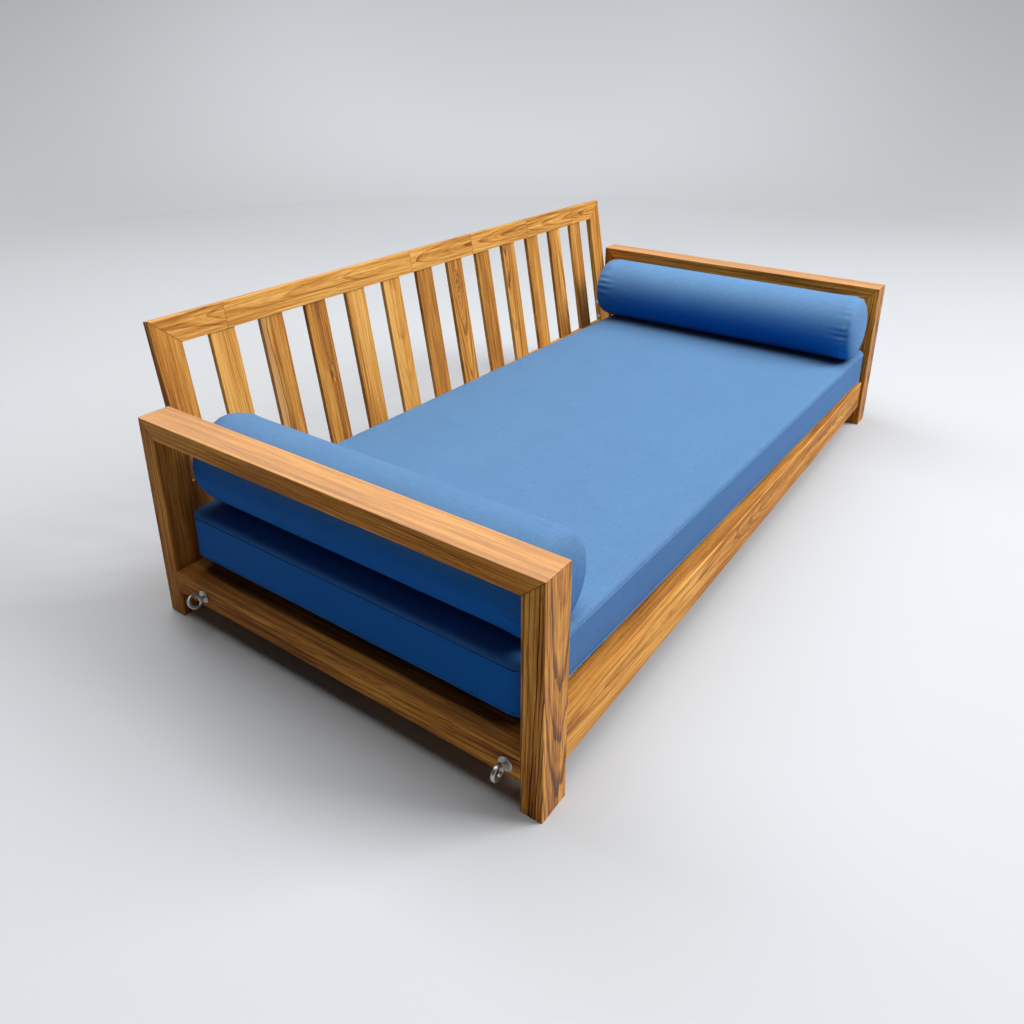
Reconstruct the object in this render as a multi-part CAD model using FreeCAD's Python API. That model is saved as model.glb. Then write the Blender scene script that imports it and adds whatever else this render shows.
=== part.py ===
"""Slatted hardwood daybed with a mattress and two bolsters, as separate pieces.

Axes: +X along the length, +Y to the back, +Z up. Millimetres.
Origin: on the floor, below the middle of the object's overall box.
"""

import FreeCAD
import Part
import math
import os

from FreeCAD import Rotation, Vector

# ---- end frames: posts, arm rails and low rails ----
length = 2060.0             # over the outer faces of the two end frames
frame_depth = 1032.0        # front face of the front posts to rear face of the rear posts
arm_height = 487.0          # floor to the top of the arm rails
post_width = 74.0           # posts, arm rails and low rails, along X
post_depth = 46.0           # posts, along Y
arm_thickness = 42.0
low_rail_bottom = 66.0
low_rail_height = 53.0
edge_radius = 2.0           # eased long edges of the frame timber

# ---- deck ----
deck_height = 157.0         # floor to the top of rails and deck slats
rail_bottom = 66.0
rail_thickness = 50.0
rail_setback = 9.0          # rail face behind the post face
cross_rail_thickness = 28.0
deck_slat_count = 12
deck_slat_width = 105.0
deck_slat_thickness = 18.0
cleat_width = 24.0
cleat_height = 32.0
cleat_inset = 30.0          # from each cross rail, clear of the eye bolts' nuts
beam_width = 40.0
beam_height = 64.0

# ---- back frame ----
back_tilt = 9.5             # degrees from upright
back_front_y = 986.5        # front face at deck height, behind the front post face
back_height = 518.0         # along the slope
back_gap = 8.0              # between an end frame and the back's stile
back_thickness = 20.0
stile_width = 67.0
back_rail_width = 62.0
back_slat_count = 12
back_slat_width = 67.0
back_slat_thickness = 13.0
back_slat_recess = 3.5      # slat face behind the frame's face
tenon_length = 15.0
back_edge_radius = 1.5

# ---- soft pieces ----
mattress_side_gap = 2.0     # to each end frame
mattress_front = 48.0       # behind the front post face
mattress_width = 886.0
mattress_thickness = 119.0
mattress_corner = 45.0
mattress_edge = 14.0
bolster_radius = 101.0
bolster_length = 890.0
bolster_end_radius = 38.0
bolster_front = 42.0        # behind the front post face
left_bolster_x = 177.0      # axis, from the outer face of the left end frame
right_bolster_x = 216.0     # axis, from the outer face of the right end frame
soft_gap = 0.5              # above the surface each soft piece lies on

# ---- eye bolts ----
eye_front_y = 75.0          # behind the front post face
eye_rear_y = 892.0
eye_height = 92.5
eye_outer_radius = 17.0
eye_bore_radius = 10.0
eye_thickness = 8.0
eye_fillet = 2.5
eye_reach = 24.0            # eye centre, out from the end frame
eye_rear_turn = 45.0        # degrees that the rear eyes are turned about their shanks
shank_radius = 4.0
shank_clearance = 0.5
shank_end = 10.0            # thread past the nut's seat
washer_radius = 15.0
washer_thickness = 2.5
nut_flats = 13.0
nut_height = 6.5

# ---- hidden fasteners ----
dowel_radius = 5.0
dowel_length = 36.0
dowel_spacing = 24.0
rail_dowel_heights = (82.0, 140.0)
cross_dowel_heights = (107.0, 124.0)
mitre_dowel_length = 36.0
mitre_dowel_rise = 10.0     # dowel's top above the middle of the mitre
screw_radius = 2.2
screw_head_radius = 4.2
screw_head_height = 3.0
slat_screw_length = 40.0
cleat_screw_length = 50.0
cleat_screw_count = 6
bolt_radius = 4.0
bolt_head_radius = 6.5
bolt_head_height = 8.0
bolt_recess_radius = 7.5
bolt_recess_depth = 9.0
bolt_heights = (232.0, 288.0)
bolt_in_post = 44.0
spacer_depth = 40.0
spacer_bottom = 205.0
spacer_height = 110.0
spacer_inset = 2.0          # behind the rear post's inner face

# ---- cutting tools ----
cut_margin = 2.0            # past the face that a tool has to clear
seat_cut_depth = 60.0
parallel = 0.99             # least cosine between edges that run the same way
level_tolerance = 1.0       # most height difference along a level edge

# ---- derived sizes ----
tilt = math.radians(back_tilt)
back_top_y = back_front_y + back_height * math.sin(tilt)
overall_depth = back_top_y + back_thickness * math.cos(tilt)
left = -length / 2
front = -overall_depth / 2
inner_left = left + post_width
inner_right = -inner_left
rear = front + frame_depth
rail_front = front + rail_setback
rail_rear = rear - rail_setback
deck_front = rail_front + rail_thickness
deck_rear = rail_rear - rail_thickness
deck_middle = (deck_front + deck_rear) / 2
deck_left = inner_left + cross_rail_thickness
slat_seat = deck_height - deck_slat_thickness

x_axis = Vector(1, 0, 0)
y_axis = Vector(0, 1, 0)
z_axis = Vector(0, 0, 1)


def box(x0, x1, y0, y1, z0, z1):
    return Part.makeBox(x1 - x0, y1 - y0, z1 - z0, Vector(x0, y0, z0))


def board(x0, x1, y0, y1, z0, z1, grain, radius=edge_radius):
    """A box whose four edges along the grain direction are rounded."""
    solid = box(x0, x1, y0, y1, z0, z1)
    edges = []
    for edge in solid.Edges:
        direction = (edge.Vertexes[1].Point - edge.Vertexes[0].Point).normalize()
        if abs(direction.dot(grain)) > parallel:
            edges.append(edge)
    return solid.makeFillet(radius, edges)


def rod(start, direction, radius, size):
    return Part.makeCylinder(radius, size, start, direction)


def prism_yz(points, x0, x1):
    """Solid between x0 and x1 whose outline is a list of (y, z) points."""
    outline = [Vector(x0, y, z) for y, z in points]
    face = Part.Face(Part.makePolygon(outline + outline[:1]))
    return face.extrude(Vector(x1 - x0, 0, 0))


def prism_xz(points, y0, y1):
    """Solid between y0 and y1 whose outline is a list of (x, z) points."""
    outline = [Vector(x, y0, z) for x, z in points]
    face = Part.Face(Part.makePolygon(outline + outline[:1]))
    return face.extrude(Vector(0, y1 - y0, 0))


def mirrored(shape):
    return shape.mirror(Vector(0, 0, 0), x_axis)


def lean(shape):
    """Tilts a piece of the back from upright about its lowest front edge."""
    tilted = shape.copy()
    tilted.rotate(Vector(0, front + back_front_y, deck_height), x_axis, -back_tilt)
    return tilted


def drill(piece, tools):
    """The piece with the tools that reach it cut out."""
    reach = piece.BoundBox
    near = [tool for tool in tools if tool.BoundBox.intersect(reach)]
    if not near:
        return piece
    return piece.cut(near)


def single(shape):
    """The one solid of a shape."""
    return shape.Solids[0]


pieces = {}


# ---- end frames ----
arm_bottom = arm_height - arm_thickness
front_post_inner = front + post_depth
rear_post_inner = rear - post_depth

front_mitre = prism_yz(
    [(front, arm_height), (front_post_inner, arm_bottom), (front_post_inner, arm_height)],
    left,
    inner_left,
)
rear_mitre = prism_yz(
    [(rear, arm_height), (rear_post_inner, arm_bottom), (rear_post_inner, arm_height)],
    left,
    inner_left,
)
front_post = board(left, inner_left, front, front_post_inner, 0, arm_height, z_axis)
rear_post = board(left, inner_left, rear_post_inner, rear, 0, arm_height, z_axis)
front_post = front_post.cut(front_mitre)
rear_post = rear_post.cut(rear_mitre)

arm_reach = [
    (front, arm_height),
    (rear, arm_height),
    (rear_post_inner, arm_bottom),
    (front_post_inner, arm_bottom),
]
arm_rail = board(left, inner_left, front, rear, arm_bottom, arm_height, y_axis)
arm_rail = arm_rail.common(prism_yz(arm_reach, left, inner_left))

low_rail = board(
    left,
    inner_left,
    front_post_inner,
    rear_post_inner,
    low_rail_bottom,
    low_rail_bottom + low_rail_height,
    y_axis,
)

# Dowels in the mitres stand upright; the others lie along Y.
post_middle_x = left + post_width / 2
dowel_x = (post_middle_x - dowel_spacing / 2, post_middle_x + dowel_spacing / 2)
mitre_middle_z = (arm_height + arm_bottom) / 2
mitre_dowels = []
low_rail_dowels = []
for x in dowel_x:
    for y in (front + post_depth / 2, rear - post_depth / 2):
        base = Vector(x, y, mitre_middle_z + mitre_dowel_rise - mitre_dowel_length)
        mitre_dowels.append(rod(base, z_axis, dowel_radius, mitre_dowel_length))
    for y in (front_post_inner, rear_post_inner):
        base = Vector(x, y - dowel_length / 2, low_rail_bottom + low_rail_height / 2)
        low_rail_dowels.append(rod(base, y_axis, dowel_radius, dowel_length))

# ---- eye bolts ----
nut_seat = deck_left + washer_thickness
hex_corner = nut_flats / math.sqrt(3)
eye_hole_length = post_width + cross_rail_thickness + 2 * washer_thickness + cut_margin


def ring(center, axis):
    """An eye: a flat ring with rounded rims and a plain bore."""
    base = center - axis * (eye_thickness / 2)
    outer = Part.makeCylinder(eye_outer_radius, eye_thickness, base, axis)
    solid = outer.cut(Part.makeCylinder(eye_bore_radius, eye_thickness, base, axis))
    rims = [edge for edge in solid.Edges if len(edge.Vertexes) == 1]
    return solid.makeFillet(eye_fillet, rims)


def eye_bolt(y, turn):
    """An eye bolt of the left end, its eye turned about the shank from upright."""
    center = Vector(left - eye_reach, y, eye_height)
    axis = Rotation(x_axis, turn).multVec(y_axis)
    start = Vector(center.x + eye_bore_radius + eye_fillet, y, eye_height)
    size = nut_seat + shank_end - start.x
    shank = rod(start, x_axis, shank_radius, size)
    return single(ring(center, axis).fuse(shank).removeSplitter())


def hexagon(x, y, z):
    """A nut blank on the shank's axis."""
    corners = []
    for step in range(6):
        angle = math.radians(60 * step)
        corners.append((y + hex_corner * math.cos(angle), z + hex_corner * math.sin(angle)))
    return prism_yz(corners, x, x + nut_height)


front_eye = eye_bolt(front + eye_front_y, 0)
rear_eye = eye_bolt(front + eye_rear_y, -eye_rear_turn)

washers = []
nuts = []
eye_holes = []
for y in (front + eye_front_y, front + eye_rear_y):
    bore_start = Vector(left - washer_thickness, y, eye_height)
    through = rod(bore_start, x_axis, shank_radius + shank_clearance, eye_hole_length)
    eye_holes.append(through)
    for x in (left - washer_thickness, deck_left):
        disc = rod(Vector(x, y, eye_height), x_axis, washer_radius, washer_thickness)
        washers.append(disc.cut(through))
    thread = rod(Vector(nut_seat, y, eye_height), x_axis, shank_radius, nut_height)
    nuts.append(hexagon(nut_seat, y, eye_height).cut(thread))

# ---- deck ----
front_rail = board(
    inner_left, inner_right, rail_front, deck_front, rail_bottom, deck_height, x_axis
)
rear_rail = board(
    inner_left, inner_right, deck_rear, rail_rear, rail_bottom, deck_height, x_axis
)
cross_rail = board(
    inner_left, deck_left, deck_front, deck_rear, rail_bottom, deck_height, y_axis
)
cleat_bottom = slat_seat - cleat_height
cleat_left = deck_left + cleat_inset
front_cleat = box(
    cleat_left, -cleat_left, deck_front, deck_front + cleat_width, cleat_bottom, slat_seat
)
rear_cleat = box(
    cleat_left, -cleat_left, deck_rear - cleat_width, deck_rear, cleat_bottom, slat_seat
)
centre_beam = board(
    deck_left,
    -deck_left,
    deck_middle - beam_width / 2,
    deck_middle + beam_width / 2,
    slat_seat - beam_height,
    slat_seat,
    x_axis,
)

deck_slats = []
slat_screws = []
deck_span = -2 * deck_left
deck_slat_gap = (deck_span - deck_slat_count * deck_slat_width) / (deck_slat_count + 1)
deck_slat_pitch = deck_slat_width + deck_slat_gap
for index in range(deck_slat_count):
    x0 = deck_left + deck_slat_gap + index * deck_slat_pitch
    x1 = x0 + deck_slat_width
    deck_slats.append(board(x0, x1, deck_front, deck_rear, slat_seat, deck_height, y_axis))
    for y in (deck_front + cleat_width / 2, deck_rear - cleat_width / 2):
        foot = Vector((x0 + x1) / 2, y, deck_height - slat_screw_length)
        collar = Vector((x0 + x1) / 2, y, deck_height - screw_head_height)
        shank = rod(foot, z_axis, screw_radius, slat_screw_length)
        head = rod(collar, z_axis, screw_head_radius, screw_head_height)
        slat_screws.append(single(shank.fuse(head).removeSplitter()))

cleat_screws = []
cleat_middle_z = slat_seat - cleat_height / 2
for index in range(cleat_screw_count):
    x = deck_left + deck_slat_gap / 2 + (2 * index + 1) * deck_slat_pitch
    for y, inward in ((deck_front + cleat_width, -1), (deck_rear - cleat_width, 1)):
        start = Vector(x, y, cleat_middle_z)
        shank = rod(start, y_axis * inward, screw_radius, cleat_screw_length)
        head = rod(start, y_axis * inward, screw_head_radius, screw_head_height)
        cleat_screws.append(single(shank.fuse(head).removeSplitter()))

# Dowels between rails and posts lie along X; those in the cross rails lie along Y.
rail_dowels = []
post_overlap_front = (rail_front + front_post_inner) / 2
post_overlap_rear = (rail_rear + rear_post_inner) / 2
for z in rail_dowel_heights:
    for y in (post_overlap_front, post_overlap_rear):
        base = Vector(inner_left - dowel_length / 2, y, z)
        rail_dowels.append(rod(base, x_axis, dowel_radius, dowel_length))
for z in cross_dowel_heights:
    for y in (deck_front, deck_rear):
        base = Vector(inner_left + cross_rail_thickness / 2, y - dowel_length / 2, z)
        rail_dowels.append(rod(base, y_axis, dowel_radius, dowel_length))
beam_middle_z = slat_seat - beam_height / 2
for z in (beam_middle_z - dowel_spacing / 2, beam_middle_z + dowel_spacing / 2):
    base = Vector(deck_left - dowel_length / 2, deck_middle, z)
    rail_dowels.append(rod(base, x_axis, dowel_radius, dowel_length))

# ---- back: drawn upright, then leaned ----
back_y0 = front + back_front_y
back_y1 = back_y0 + back_thickness
back_x0 = inner_left + back_gap
back_x1 = -back_x0
back_z1 = deck_height + back_height
stile_inner = back_x0 + stile_width
top_rail_bottom = back_z1 - back_rail_width
bottom_rail_top = deck_height + back_rail_width
cut_depth = back_thickness * math.sin(tilt) + cut_margin
seat_cut = box(left, -left, front, -front, deck_height - seat_cut_depth, deck_height)

stile = board(
    back_x0,
    stile_inner,
    back_y0,
    back_y1,
    deck_height - cut_depth,
    back_z1,
    z_axis,
    back_edge_radius,
)
stile_mitre = prism_xz(
    [(back_x0, back_z1), (stile_inner, top_rail_bottom), (stile_inner, back_z1)],
    back_y0,
    back_y1,
)
stile = stile.cut(stile_mitre)
top_rail = board(
    back_x0, back_x1, back_y0, back_y1, top_rail_bottom, back_z1, x_axis, back_edge_radius
)
top_rail_outline = [
    (back_x0, back_z1),
    (back_x1, back_z1),
    (-stile_inner, top_rail_bottom),
    (stile_inner, top_rail_bottom),
]
top_rail = top_rail.common(prism_xz(top_rail_outline, back_y0, back_y1))
bottom_rail = board(
    stile_inner,
    -stile_inner,
    back_y0,
    back_y1,
    deck_height - cut_depth,
    bottom_rail_top,
    x_axis,
    back_edge_radius,
)

back_slats = []
back_span = -2 * stile_inner
back_slat_gap = (back_span - back_slat_count * back_slat_width) / (back_slat_count + 1)
for index in range(back_slat_count):
    x0 = stile_inner + back_slat_gap + index * (back_slat_width + back_slat_gap)
    slat = board(
        x0,
        x0 + back_slat_width,
        back_y0 + back_slat_recess,
        back_y0 + back_slat_recess + back_slat_thickness,
        bottom_rail_top - tenon_length,
        top_rail_bottom + tenon_length,
        z_axis,
        back_edge_radius,
    )
    back_slats.append(slat)

stile = lean(stile).cut(seat_cut)
top_rail = lean(drill(top_rail, back_slats))
bottom_rail = lean(drill(bottom_rail, back_slats)).cut(seat_cut)
back_slats = [lean(slat) for slat in back_slats]

# Spacer blocks and bolts between the stiles and the rear posts.
spacer = box(
    inner_left,
    back_x0,
    rear_post_inner + spacer_inset,
    rear_post_inner + spacer_inset + spacer_depth,
    spacer_bottom,
    spacer_bottom + spacer_height,
)
back_bolts = []
bolt_holes = []
for z in bolt_heights:
    rise = z - deck_height
    y = back_y0 + rise * math.tan(tilt) + back_thickness / 2 / math.cos(tilt)
    seat_x = stile_inner - bolt_recess_depth
    tip = Vector(inner_left - bolt_in_post, y, z)
    shank = rod(tip, x_axis, bolt_radius, seat_x - tip.x)
    head = rod(Vector(seat_x, y, z), x_axis, bolt_head_radius, bolt_head_height)
    back_bolts.append(single(shank.fuse(head).removeSplitter()))
    recess_size = bolt_recess_depth + cut_margin
    recess = rod(Vector(seat_x, y, z), x_axis, bolt_recess_radius, recess_size)
    bolt_holes.append(shank.fuse(recess))

# ---- cut the joinery and name the pieces ----
frame_tools = mitre_dowels + low_rail_dowels + rail_dowels + eye_holes + bolt_holes
left_pieces = {
    "front_post": drill(front_post, frame_tools),
    "rear_post": drill(rear_post, frame_tools),
    "arm_rail": drill(arm_rail, frame_tools),
    "low_rail": drill(low_rail, frame_tools),
    "deck_rail": drill(cross_rail, frame_tools),
    "front_eye_bolt": front_eye,
    "rear_eye_bolt": rear_eye,
}
for name, shape in left_pieces.items():
    pieces["left_" + name] = shape
    pieces["right_" + name] = mirrored(shape)

both_rail_dowels = rail_dowels + [mirrored(dowel) for dowel in rail_dowels]
deck_tools = both_rail_dowels + slat_screws + cleat_screws
pieces["front_rail"] = drill(front_rail, deck_tools)
pieces["rear_rail"] = drill(rear_rail, deck_tools)
pieces["front_cleat"] = drill(front_cleat, deck_tools)
pieces["rear_cleat"] = drill(rear_cleat, deck_tools)
pieces["centre_beam"] = drill(centre_beam, both_rail_dowels)
for index, slat in enumerate(deck_slats):
    pieces["deck_slat_%02d" % (index + 1)] = drill(slat, slat_screws)

left_stile = drill(stile, bolt_holes)
pieces["back_top_rail"] = top_rail
pieces["back_bottom_rail"] = bottom_rail
pieces["back_left_stile"] = left_stile
pieces["back_right_stile"] = mirrored(left_stile)
for index, slat in enumerate(back_slats):
    pieces["back_slat_%02d" % (index + 1)] = slat

# ---- soft pieces ----
mattress = box(
    inner_left + mattress_side_gap,
    inner_right - mattress_side_gap,
    front + mattress_front,
    front + mattress_front + mattress_width,
    deck_height + soft_gap,
    deck_height + soft_gap + mattress_thickness,
)
upright_edges = []
for edge in mattress.Edges:
    if abs(edge.Vertexes[1].Z - edge.Vertexes[0].Z) > level_tolerance:
        upright_edges.append(edge)
mattress = mattress.makeFillet(mattress_corner, upright_edges)
level_edges = []
for edge in mattress.Edges:
    if abs(edge.Vertexes[1].Z - edge.Vertexes[0].Z) < level_tolerance:
        level_edges.append(edge)
pieces["mattress"] = mattress.makeFillet(mattress_edge, level_edges)

bolster_z = deck_height + mattress_thickness + 2 * soft_gap + bolster_radius
bolster_places = {
    "left_bolster": left + left_bolster_x,
    "right_bolster": -left - right_bolster_x,
}
for name, x in bolster_places.items():
    start = Vector(x, front + bolster_front, bolster_z)
    cylinder = rod(start, y_axis, bolster_radius, bolster_length)
    rims = [edge for edge in cylinder.Edges if isinstance(edge.Curve, Part.Circle)]
    pieces[name] = cylinder.makeFillet(bolster_end_radius, rims)

# ---- groups of identical pieces ----
groups = {
    "mitre_dowels": mitre_dowels,
    "low_rail_dowels": low_rail_dowels,
    "rail_dowels": rail_dowels,
    "eye_washers": washers,
    "eye_nuts": nuts,
    "back_spacers": [drill(spacer, bolt_holes)],
    "back_bolts": back_bolts,
}
for name, members in groups.items():
    pieces[name] = Part.makeCompound(members + [mirrored(member) for member in members])
pieces["slat_screws"] = Part.makeCompound(slat_screws)
pieces["cleat_screws"] = Part.makeCompound(cleat_screws)

os.makedirs("parts", exist_ok=True)
for name, shape in pieces.items():
    shape.exportStep("parts/" + name + ".step")
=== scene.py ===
"""Looks of the slatted hardwood daybed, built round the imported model.

Metres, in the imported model's frame: +X along the length, +Y to the back, +Z up.
"""

import math

import bpy
import numpy as np
from mathutils import Matrix, Vector


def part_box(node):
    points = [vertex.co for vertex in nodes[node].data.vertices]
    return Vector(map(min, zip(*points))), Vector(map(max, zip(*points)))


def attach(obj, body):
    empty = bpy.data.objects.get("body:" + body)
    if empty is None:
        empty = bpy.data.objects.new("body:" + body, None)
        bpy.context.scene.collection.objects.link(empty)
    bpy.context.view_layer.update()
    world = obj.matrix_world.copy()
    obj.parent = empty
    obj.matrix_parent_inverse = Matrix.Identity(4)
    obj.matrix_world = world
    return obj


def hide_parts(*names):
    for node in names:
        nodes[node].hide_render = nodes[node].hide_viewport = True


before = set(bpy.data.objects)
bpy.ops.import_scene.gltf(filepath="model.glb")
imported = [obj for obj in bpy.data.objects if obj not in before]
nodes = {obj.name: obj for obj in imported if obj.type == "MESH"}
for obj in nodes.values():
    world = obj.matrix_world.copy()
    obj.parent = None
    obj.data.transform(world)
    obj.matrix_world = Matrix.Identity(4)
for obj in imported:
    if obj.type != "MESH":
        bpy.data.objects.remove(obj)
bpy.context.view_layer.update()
scene = bpy.context.scene

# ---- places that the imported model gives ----
post_low, post_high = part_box("left_front_post")
arm_low, arm_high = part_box("left_arm_rail")
_, rail_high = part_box("front_rail")
deck_top = rail_high.z
back_lean = math.radians(9.5)
stile_width = 0.067
top_rail_width = 0.062
back_thickness = 0.020


# ---- camera ----
image_px = 1024
focal_px = 847.33
centre_px = (532.68, 387.68)
sensor_mm = 36.0
camera_place = Vector((-1.9124, -1.1142, 1.2255))
yaw = math.radians(55.964)
pitch = math.radians(22.159)
roll = math.radians(0.549)


def make_camera():
    forward = Vector(
        (math.sin(yaw) * math.cos(pitch), math.cos(yaw) * math.cos(pitch), -math.sin(pitch))
    )
    level_right = Vector((math.cos(yaw), -math.sin(yaw), 0))
    level_up = level_right.cross(forward)
    right = math.cos(roll) * level_right + math.sin(roll) * level_up
    up = math.cos(roll) * level_up - math.sin(roll) * level_right
    data = bpy.data.cameras.new("camera")
    data.sensor_width = sensor_mm
    data.lens = sensor_mm * focal_px / image_px
    data.shift_x = 0.5 - centre_px[0] / image_px
    data.shift_y = centre_px[1] / image_px - 0.5
    data.clip_end = 60
    camera = bpy.data.objects.new("camera", data)
    turn = Matrix((right, up, -forward)).transposed().to_4x4()
    camera.matrix_world = Matrix.Translation(camera_place) @ turn
    scene.collection.objects.link(camera)
    scene.camera = camera


make_camera()


# ---- node helpers ----
class Tree:
    """Short names for making nodes in one node tree."""

    def __init__(self, tree):
        self.tree = tree

    def put(self, value, socket):
        if isinstance(value, bpy.types.NodeSocket):
            self.tree.links.new(value, socket)
        else:
            socket.default_value = value

    def node(self, kind, inputs=(), **settings):
        made = self.tree.nodes.new(kind)
        for name, value in settings.items():
            setattr(made, name, value)
        for key, value in dict(inputs).items():
            self.put(value, made.inputs[key])
        return made

    def math(self, operation, *values, clamp=False):
        made = self.tree.nodes.new("ShaderNodeMath")
        made.operation = operation
        made.use_clamp = clamp
        for index, value in enumerate(values):
            self.put(value, made.inputs[index])
        return made.outputs[0]

    def hypot(self, a, b):
        squares = self.math("ADD", self.math("POWER", a, 2.0), self.math("POWER", b, 2.0))
        return self.math("SQRT", squares)

    def choose(self, share, a, b):
        """a where share is 0, b where it is 1."""
        rest = self.math("SUBTRACT", 1.0, share)
        return self.math("ADD", self.math("MULTIPLY", a, rest), self.math("MULTIPLY", b, share))

    def vector(self, operation, *values):
        made = self.tree.nodes.new("ShaderNodeVectorMath")
        made.operation = operation
        for index, value in enumerate(values):
            self.put(value, made.inputs[index])
        return made.outputs["Vector"]

    def split(self, vector):
        made = self.node("ShaderNodeSeparateXYZ", {"Vector": vector})
        return made.outputs["X"], made.outputs["Y"], made.outputs["Z"]

    def join(self, x, y, z):
        return self.node("ShaderNodeCombineXYZ", {"X": x, "Y": y, "Z": z}).outputs[0]

    def noise(self, vector, seed, detail=2.0, rough=0.5):
        """Noise of about one wave per unit of the vector, from 0 to 1."""
        made = self.node(
            "ShaderNodeTexNoise",
            {"Vector": vector, "W": seed, "Scale": 1.0, "Detail": detail, "Roughness": rough},
            noise_dimensions="4D",
        )
        return made.outputs

    def step(self, value, low, high):
        """0 below low, 1 above high, smooth between; also falls where low is above high."""
        made = self.node(
            "ShaderNodeMapRange",
            {"Value": value, "From Min": low, "From Max": high},
            interpolation_type="SMOOTHSTEP",
        )
        return made.outputs["Result"]

    def mix(self, factor, a, b):
        made = self.node("ShaderNodeMix", data_type="RGBA")
        self.put(factor, made.inputs[0])
        self.put(a, made.inputs[6])
        self.put(b, made.inputs[7])
        return made.outputs[2]

    def ramp(self, factor, stops):
        made = self.node("ShaderNodeValToRGB", {"Fac": factor})
        points = made.color_ramp.elements
        while len(points) < len(stops):
            points.new(0.5)
        for point, (place, colour) in zip(points, stops):
            point.position = place
            point.color = (*colour, 1)
        return made.outputs["Color"]


def new_material(name):
    material = bpy.data.materials.new(name)
    material.use_nodes = True
    tree = Tree(material.node_tree)
    shader = material.node_tree.nodes["Principled BSDF"]
    return material, tree, shader


# ---- painted light on lit faces ----
# Faces turned towards the lamps are painted paler, standing in for the light's sheen on them.
# Faces turned away keep the deeper colour, as painted shade.
painted_light_way = tuple(Vector((0.12, -0.35, 0.90)).normalized())
painted_light_none = -0.12           # cosine to the lamps' way at which a face gets no painted light
painted_light_full = 0.70            # and at which its painted light is full


def painted_light_share(t, normal, low=painted_light_none):
    """How much painted light a face gets: most on top and in front, none below or at the left
    end, which lie in shade.
    """
    reach = t.node("ShaderNodeVectorMath", {0: normal, 1: painted_light_way}, operation="DOT_PRODUCT")
    return t.step(reach.outputs["Value"], low, painted_light_full)


# ---- wood ----
# A board's own axes: v and w across the grain, u along it. Rows are v, w, u.
grain_axes = {
    "x": Matrix(((0, 1, 0), (0, 0, 1), (1, 0, 0))),
    "y": Matrix(((0, 0, 1), (1, 0, 0), (0, 1, 0))),
    "z": Matrix.Identity(3),
}
wood_stops = (
    (0.00, (0.760, 0.400, 0.100)),
    (0.22, (0.600, 0.265, 0.042)),
    (0.45, (0.390, 0.138, 0.016)),
    (0.70, (0.165, 0.048, 0.006)),
    (1.00, (0.040, 0.012, 0.002)),
)
# paler colour painted on faces towards the lamps: painted light, standing in for the light's
# sheen
lit_wood_paint = (0.640, 0.440, 0.280)

# Waves per metre of each noise in a board: twice across the grain, and along it.
bend_waves = (5.0, 5.0, 1.6)
ripple_waves = (70.0, 70.0, 9.0)
broad_waves = (16.0, 16.0, 1.3)
streak_waves = (110.0, 110.0, 2.6)
fibre_waves = (300.0, 300.0, 7.0)
pore_waves = (900.0, 900.0, 45.0)
scuff_waves = (40.0, 40.0, 25.0)

# How far each of them moves the wood along its stops, at contrast 1.
late_dark = 0.36
fine_dark = 0.09
broad_dark = 0.90
streak_dark = 1.05
fibre_dark = 0.95
pore_dark = 0.17
rubbed_dark = -0.12

ring_ripple = 0.85          # ring spacings by which the ripple moves a ring
fine_rings = 2.6            # thin lines per ring
scuff_depth = -0.004        # metres by which the rubbed edge wanders
rubbed_in, rubbed_out = 0.0016, -0.0020

# Marks laid over the grain: colour, and how much of it shows.
sapwood_mark = ((0.74, 0.47, 0.21, 1.0), 0.30)
streak_mark = ((0.09, 0.030, 0.010, 1.0), 0.8)
knot_mark = ((0.10, 0.034, 0.012, 1.0), 0.8)
joint_mark = ((0.12, 0.045, 0.016, 1.0), 0.55)
mitre_mark = ((0.06, 0.022, 0.01, 1.0), 0.8)


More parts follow.
